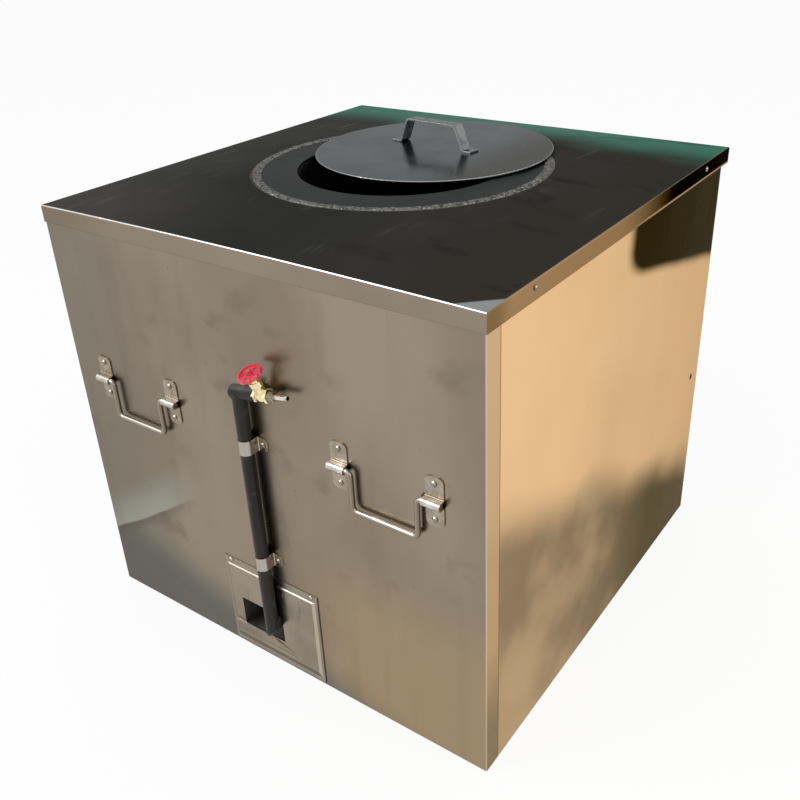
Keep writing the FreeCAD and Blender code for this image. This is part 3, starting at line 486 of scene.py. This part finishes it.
bead_steel, place = start_finish("weld_bead_steel")
bead_spots = patches(place, 120.0, 0.38, 0.66, 4.0)
spatter = patches(place, 260.0, 0.58, 0.68, 2.0)
bead_colour = mixed(bead_spots, (0.190, 0.187, 0.178, 1), (0.062, 0.061, 0.058, 1))
end_finish(place, {"Base Color": mixed(spatter * 0.8, bead_colour, (0.46, 0.45, 0.43, 1)),
                   "Metallic": 1.0, "Roughness": 0.50, "Specular Tint": (0.5, 0.5, 0.5, 1),
                   "Normal": relief(grain(place, 400.0, 4.0), 0.0008)})

ring_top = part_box("collar_ring")[1].z
bead_width = 0.0150
bead_height = 0.0019
bead_sink = 0.0016
ripple_count = 290
ripple_steps = 4
bead_across = 8
bead_roundness = 0.7
bead_wander = 0.0014
wander_fineness = 17.0
lump_fineness = 46.0
lump_width = 0.22
plain_rise = 0.66
lump_rise = 0.19
ripple_rise = 0.15
form = bmesh.new()
hoops = []
for i in range(ripple_count * ripple_steps):
    turn = math.radians(360 * i / (ripple_count * ripple_steps))
    around = Vector((math.cos(turn), math.sin(turn), 0))
    lump = noise.noise(around * lump_fineness)
    swell = 0.5 + 0.5 * math.cos(2 * math.pi * i / ripple_steps)
    half = bead_width / 2 * (1 + lump_width * lump)
    rise = bead_height * (plain_rise + lump_rise * lump + ripple_rise * swell)
    middle = weld_circle + bead_wander * noise.noise(around * wander_fineness)
    base = max(ring_top, tray_level(around.x * tray_hole, around.y * tray_hole))
    hoop = []
    for j in range(bead_across + 1):
        slant = math.pi * j / bead_across
        level = base - bead_sink + (bead_sink + rise) * math.sin(slant) ** bead_roundness
        level = min(level, ring_top + bead_height)
        radius = middle - half * math.cos(slant)
        hoop.append(form.verts.new((around.x * radius, around.y * radius, level)))
    hoops.append(hoop)
for hoop, following in zip(hoops, hoops[1:] + hoops[:1]):
    for j in range(bead_across):
        form.faces.new((hoop[j], hoop[j + 1], following[j + 1], following[j]))
    form.faces.new((hoop[-1], hoop[0], following[0], following[-1]))
bmesh.ops.recalc_face_normals(form, faces=form.faces)
bead_mesh = bpy.data.meshes.new("collar_bead")
form.to_mesh(bead_mesh)
form.free()
bead_mesh.shade_smooth()
bead_mesh.materials.append(bead_steel)
collar_bead = bpy.data.objects.new("collar_bead", bead_mesh)
bpy.context.scene.collection.objects.link(collar_bead)
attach(collar_bead, "cabinet")
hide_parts("collar_weld")

# Each drop handle is a bail of bright stainless rod whose ends turn in two arched saddles.
# The saddles are pressed from strip and riveted through the sheet.
bright_steel, place = start_finish("bright_stainless")
facing = place.node("NewGeometry", out="Normal")
rubbed = patches(place, 60.0, 0.40, 0.70, 4.0)
rod_colour = mixed(rubbed, (0.70, 0.67, 0.60, 1), (0.54, 0.51, 0.45, 1))
# Painted light: tops of the rod bright, other sides darker, with painted shade on right-facing sides and
# undersides.
lit_upper_side = between(along(facing, "Z"), 0.10, 0.65)
rod_colour = mixed(lit_upper_side, (0.290, 0.240, 0.185, 1), rod_colour)
turned_right = between(along(facing, "X"), 0.15, 0.75)
rod_colour = mixed(turned_right * 0.85, rod_colour, (0.20, 0.165, 0.125, 1))
under = 1 - between(along(facing, "Z"), -0.55, -0.05)
end_finish(place, {"Base Color": mixed(under * 0.7, rod_colour, (0.22, 0.185, 0.145, 1)), "Metallic": 1.0,
                   "Roughness": 0.16 + 0.14 * rubbed, "Normal": relief(grain(place, 400.0), 0.0001)})

front_ears = -0.4033
back_ears = 0.3767
ear_blur = 0.0017
clip_half = 0.0445
strap_steel, place = start_finish("strap_stainless")
out_front = past(along(place, "Y"), front_ears, ear_blur)
out_back = past(along(place, "Y"), back_ears, ear_blur)
arched = 1 - out_front * (1 - out_back)
rubbed = patches(place, 70.0, 0.36, 0.68, 4.0)
# The ears are painted in the casing's darker reflected tones and the arches bright as painted sheen, duller
# on the pipe clips.
ear_colour = mixed(rubbed, (0.40, 0.350, 0.290, 1), (0.31, 0.265, 0.21, 1))
arch_colour = mixed(rubbed, (0.70, 0.67, 0.61, 1), (0.50, 0.46, 0.40, 1))
on_pipe = past(along(place, "X"), -clip_half, 0.0005) * (1 - past(along(place, "X"), clip_half, 0.0005))
arch_colour = mixed(on_pipe, arch_colour, (0.44, 0.395, 0.34, 1))
end_finish(place, {"Base Color": mixed(arched, ear_colour, arch_colour), "Metallic": 1.0,
                   "Roughness": 0.20 + 0.14 * rubbed, "Specular Tint": (0.60, 0.56, 0.50, 1),
                   "Normal": relief(grain(place, 300.0), 0.0002)})
for row in ("front", "back"):
    for side in ("left", "right"):
        dress(bright_steel, "%s_%s_bail" % (row, side))
        eased("%s_%s_saddles" % (row, side), 0.0004, strap_steel)
    dress(bright_steel, row + "_handle_rivets")
dress(bright_steel, "tray_screws")

# The gas pipe is black steel tube: a riser, a mitred elbow into the burner opening and a capped stub on top.
# Two bright straps hold it to the front, with a screw in each ear.
black_pipe, place = start_finish("black_pipe")
worn = patches(place, 48.0, 0.56, 0.76, 5.0)
dusty = patches(place, 6.0, 0.40, 0.70)
pipe_colour = mixed(dusty, (0.012, 0.0095, 0.0072, 1), (0.022, 0.018, 0.014, 1))
facing = place.node("NewGeometry", out="Normal")
# Painted highlight on the faces turned up, broken up by the wear.
upper_highlight = between(along(facing, "Z"), 0.45, 0.95) * (0.5 + 0.5 * worn)
pipe_colour = mixed(upper_highlight, pipe_colour, (0.165, 0.155, 0.148, 1))
end_finish(place, {"Base Color": mixed(worn * 0.5, pipe_colour, (0.085, 0.078, 0.066, 1)),
                   "Roughness": 0.34 + 0.2 * dusty, "Specular IOR Level": 0.22,
                   "Normal": relief(grain(place, 300.0, 4.0), 0.0003)})
dress(black_pipe, "gas_riser", "burner_feed_pipe", "valve_stub_pipe", "pipe_welds")
dress(bright_steel, "pipe_clip_screws")
eased("pipe_clip_upper", 0.0003, strap_steel)
eased("pipe_clip_lower", 0.0003, strap_steel)

# The gas valve is turned and milled brass on the end of the stub, with a bright plated nozzle for the hose.
# Turning the red enamelled wheel and its spindle lifts the disc inside. A small nut holds the wheel.
brass, place = start_finish("valve_brass")
tarnish = patches(place, 90.0, 0.45, 0.72, 4.0)
brass_colour = mixed(tarnish, (0.92, 0.81, 0.53, 1), (0.72, 0.57, 0.29, 1))
end_finish(place, {"Base Color": brass_colour, "Metallic": 1.0,
                   "Roughness": 0.20 + 0.2 * tarnish, "Normal": relief(grain(place, 600.0), 0.00008)})
dress(brass, "valve_disc", "valve_stem", "gas_jet")
for node in ("valve_body", "valve_bonnet", "packing_nut"):
    eased(node, 0.0003, brass)

enamel, place = start_finish("red_enamel")
chips = patches(place, 240.0, 0.66, 0.72, 3.0)
wear = patches(place, 80.0, 0.40, 0.70)
enamel_red = mixed(wear, (0.76, 0.062, 0.105, 1), (0.60, 0.036, 0.060, 1))
end_finish(place, {"Base Color": mixed(chips * 0.5, enamel_red, (0.28, 0.010, 0.014, 1)),
                   "Roughness": 0.26 + 0.2 * wear, "Coat Weight": 0.4,
                   "Normal": relief(grain(place, 260.0), 0.0002)})
eased("handwheel", 0.0004, enamel)

hexagon_end = 0.0726
plated, place = start_finish("plated_nozzle")
dull = patches(place, 120.0, 0.40, 0.70)
hexagon = 1 - past(along(place, "X"), hexagon_end, 0.0004)
nozzle_colour = mixed(dull, (0.74, 0.72, 0.68, 1), (0.50, 0.47, 0.43, 1))
end_finish(place, {"Base Color": mixed(hexagon, nozzle_colour, (0.24, 0.205, 0.155, 1)), "Metallic": 1.0,
                   "Roughness": 0.18 + 0.15 * dull, "Normal": relief(grain(place, 500.0), 0.00008)})
eased("hose_nozzle", 0.0003, plated)
eased("handwheel_nut", 0.0002, enamel)

# The lid is a loose disc of steel plate, with a painted highlight round its edge and a painted darker
# reflection on its right, and a handle of bent flat strip whose feet are welded down.
lid_steel, place = start_finish("lid_steel")
swirl = patches(place, 9.0, 0.36, 0.70, 4.0)
marks = patches(place, 70.0, 0.60, 0.74, 3.0, (1.0, 0.3, 1.0))
disc_colour = mixed(swirl, (0.138, 0.157, 0.163, 1), (0.118, 0.130, 0.132, 1))
# Painted darker reflection over the right of the lid.
dark_reflection_right = between(along(place, "X"), 0.05, 0.16)
disc_colour = mixed(dark_reflection_right, disc_colour, (0.088, 0.089, 0.082, 1))
lid_low, lid_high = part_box("lid_plate")
lid_middle = (lid_low + lid_high) / 2
from_middle = place.node("VectorMath", {"operation": "SUBTRACT"},
                         {"Vector": place, "Vector_001": tuple(lid_middle)})
out_from_middle = place.node("VectorMath", {"operation": "LENGTH"}, {"Vector": from_middle}, "Value")
lid_radius = (lid_high.x - lid_low.x) / 2
rim_width = 0.0013
# Painted highlight round the lid's edge.
edge_highlight_ring = past(out_from_middle, lid_radius - rim_width, 0.0007)
disc_colour = mixed(marks * 0.3, disc_colour, (0.19, 0.20, 0.20, 1))
end_finish(place, {"Base Color": mixed(edge_highlight_ring * 0.8, disc_colour, (0.44, 0.45, 0.45, 1)), "Metallic": 1.0,
                   "Roughness": 0.16 + 0.10 * swirl, "Specular Tint": (0.5, 0.5, 0.5, 1),
                   "Normal": relief(grain(place, 5.0, 2.0), 0.002)})
dress(lid_steel, "lid_plate")

grip_steel, place = start_finish("grip_strip_steel")
facing = place.node("NewGeometry", out="Normal")
# Painted highlight on the strip's edges; its flat faces are painted in dark reflected tones.
strip_edge_highlight = between(along(facing, "Y") * along(facing, "Y"), 0.25, 0.70)
rubbed = patches(place, 80.0, 0.36, 0.68, 4.0)
flat_colour = mixed(rubbed, (0.24, 0.26, 0.255, 1), (0.150, 0.160, 0.155, 1))
end_finish(place, {"Base Color": mixed(strip_edge_highlight, flat_colour, (0.60, 0.62, 0.60, 1)), "Metallic": 1.0,
                   "Roughness": 0.18 + 0.12 * rubbed, "Specular Tint": (0.5, 0.5, 0.5, 1),
                   "Normal": relief(grain(place, 300.0), 0.0002)})
eased("lid_handle", 0.0005, grip_steel)

# The studio is a wide pale floor under an even white surround, with a large soft lamp at the front left
# and a weaker one at the right.
floor_half = 30.0
floor_drop = 0.0005
bpy.ops.mesh.primitive_plane_add(size=2 * floor_half, location=(0, 0, -floor_drop))
floor = bpy.context.active_object
floor.name = "studio_floor"
floor_paper = bpy.data.materials.new("pale_floor")
floor_paper.use_nodes = True
floor_paper.node_tree.nodes.clear()
paper = Shade(floor_paper.node_tree)


def seen_rays(shade):
    """1 where the background is seen: straight, mirrored or through something."""
    straight = shade.node("LightPath", out="Is Camera Ray")
    mirrored = shade.node("LightPath", out="Is Glossy Ray")
    through = shade.node("LightPath", out="Is Transmission Ray")
    return straight + mirrored + through


matt = paper.node("BsdfDiffuse", {}, {"Color": (0.90, 0.90, 0.90, 1)})
glow = paper.node("Emission", {}, {"Color": (1.0, 1.0, 1.0, 1), "Strength": 1.0})
lit = paper.node("MixShader", {}, {"Fac": seen_rays(paper) * 0.88, "Shader": matt, "Shader_001": glow})
paper.node("OutputMaterial", {}, {"Surface": lit})
floor.data.materials.append(floor_paper)

world = bpy.data.worlds.new("white_surround")
bpy.context.scene.world = world
world.use_nodes = True
world.node_tree.nodes.clear()
sky = Shade(world.node_tree)
backdrop = sky.node("Background", {}, {"Color": (1.0, 1.0, 1.0, 1), "Strength": 1.0})
ambience = sky.node("Background", {}, {"Color": (1.0, 1.0, 1.0, 1), "Strength": 0.80})
around = sky.node("MixShader", {}, {"Fac": seen_rays(sky), "Shader": ambience, "Shader_001": backdrop})
sky.node("OutputWorld", {}, {"Surface": around})


def soft_lamp(name, spot, aim, size, watts):
    """A square soft lamp turned towards a point."""
    lamp = bpy.data.lights.new(name, "AREA")
    lamp.size = size
    lamp.energy = watts
    holder = bpy.data.objects.new(name, lamp)
    holder.location = spot
    holder.rotation_mode = "QUATERNION"
    holder.rotation_quaternion = (Vector(aim) - Vector(spot)).to_track_quat("-Z", "Y")
    bpy.context.scene.collection.objects.link(holder)


soft_lamp("key_lamp", (-1.8, -2.2, 2.9), (0, 0, 0.4), 1.8, 45.0)
soft_lamp("side_lamp", (2.6, -0.4, 1.9), (0, 0, 0.4), 1.6, 20.0)

# The camera stands where the photograph was taken from: in front, to the right and above, slightly rolled.
view_azimuth = math.radians(36.05)
view_elevation = math.radians(27.77)
view_roll = math.radians(-2.31)
view_distance = 1.6448
view_aim = Vector((0.0136, 0.0, 0.3752))
picture_pixels = 800
focal_pixels = 914.7
centre_pixels = (417.9, 371.0)
camera = bpy.data.objects.new("photo_camera", bpy.data.cameras.new("photo_camera"))
bpy.context.scene.collection.objects.link(camera)
backward = Vector((math.sin(view_azimuth) * math.cos(view_elevation),
                   -math.cos(view_azimuth) * math.cos(view_elevation), math.sin(view_elevation)))
rightward = Vector((math.cos(view_azimuth), math.sin(view_azimuth), 0))
upward = backward.cross(rightward)
rolled_right = math.cos(view_roll) * rightward + math.sin(view_roll) * upward
rolled_up = -math.sin(view_roll) * rightward + math.cos(view_roll) * upward
turn = Matrix((rolled_right, rolled_up, backward)).transposed()
camera.matrix_world = Matrix.Translation(view_aim + backward * view_distance) @ turn.to_4x4()
camera.data.sensor_width = 36.0
camera.data.lens = focal_pixels * camera.data.sensor_width / picture_pixels
camera.data.shift_x = (picture_pixels / 2 - centre_pixels[0]) / picture_pixels
camera.data.shift_y = (centre_pixels[1] - picture_pixels / 2) / picture_pixels
bpy.context.scene.camera = camera
bpy.context.scene.view_settings.view_transform = "Standard"
